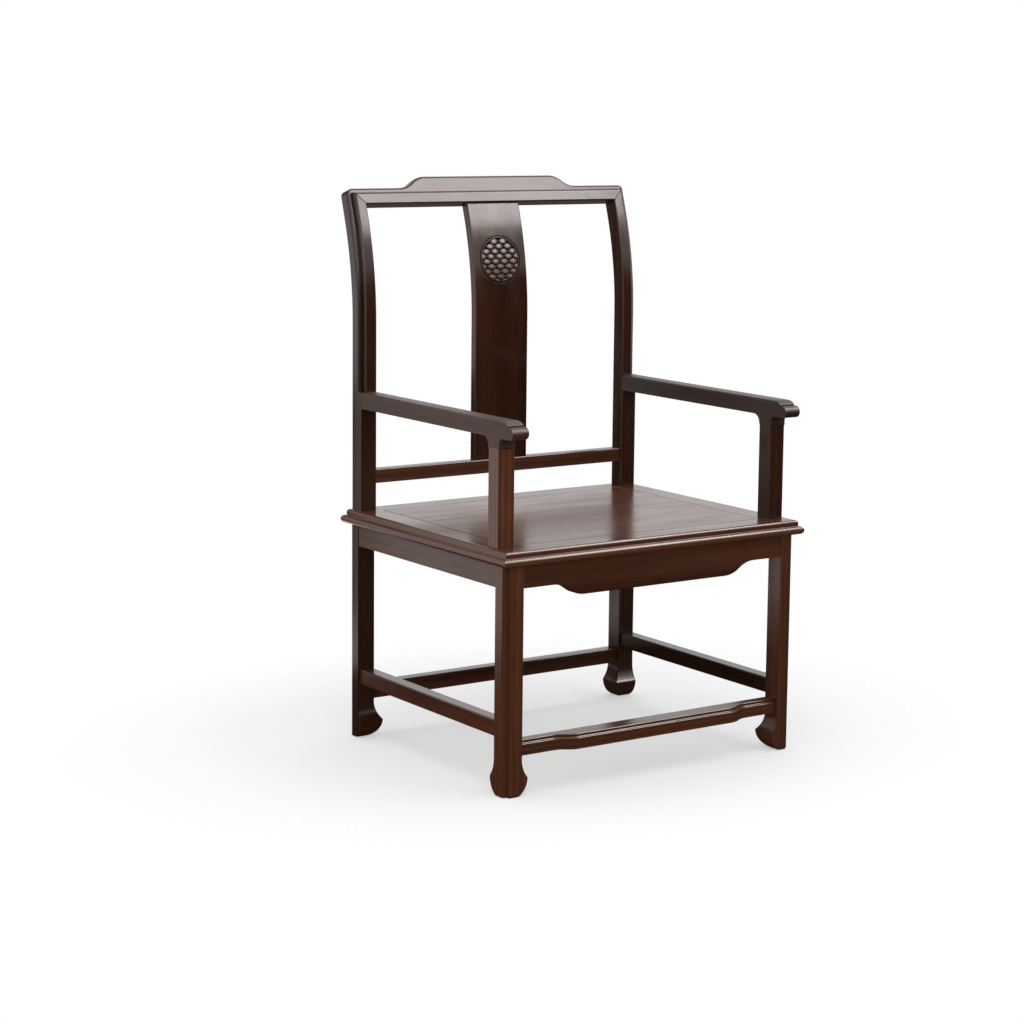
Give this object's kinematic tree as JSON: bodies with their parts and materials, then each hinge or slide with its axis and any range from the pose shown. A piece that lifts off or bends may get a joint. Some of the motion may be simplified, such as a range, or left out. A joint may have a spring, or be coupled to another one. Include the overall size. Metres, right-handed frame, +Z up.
{
  "type": "armchair",
  "caption": "Dark wooden armchair with a leaning back, carved splat medallion, stepped arms, moulded seat frame and hoof feet joined by low stretchers.",
  "frame": {"origin": "centre of the bounding box, on the floor under the feet", "axes": "+Z up, -Y towards the sitter's front, +X towards the viewer's right"},
  "size_m": [0.68, 0.6, 1.07],
  "materials": {
    "wood": "satin dark stain"
  },
  "bodies": {
    "root": {"leg_front_left": "wood", "leg_front_right": "wood", "leg_back_left": "wood", "leg_back_right": "wood", "crest_rail": "wood", "back_splat": "wood", "back_rail": "wood", "arm_left": "wood", "arm_right": "wood", "arm_post_left": "wood", "arm_post_right": "wood", "seat_rail_front": "wood", "seat_rail_rear": "wood", "seat_rail_left": "wood", "seat_rail_right": "wood", "seat_panel": "wood", "seat_batten": "wood", "apron_front": "wood", "apron_rear": "wood", "apron_left": "wood", "apron_right": "wood", "stretcher_left": "wood", "stretcher_right": "wood", "stretcher_rear": "wood", "stretcher_front": "wood", "joint_pegs": "wood"}
  },
  "joints": []
}
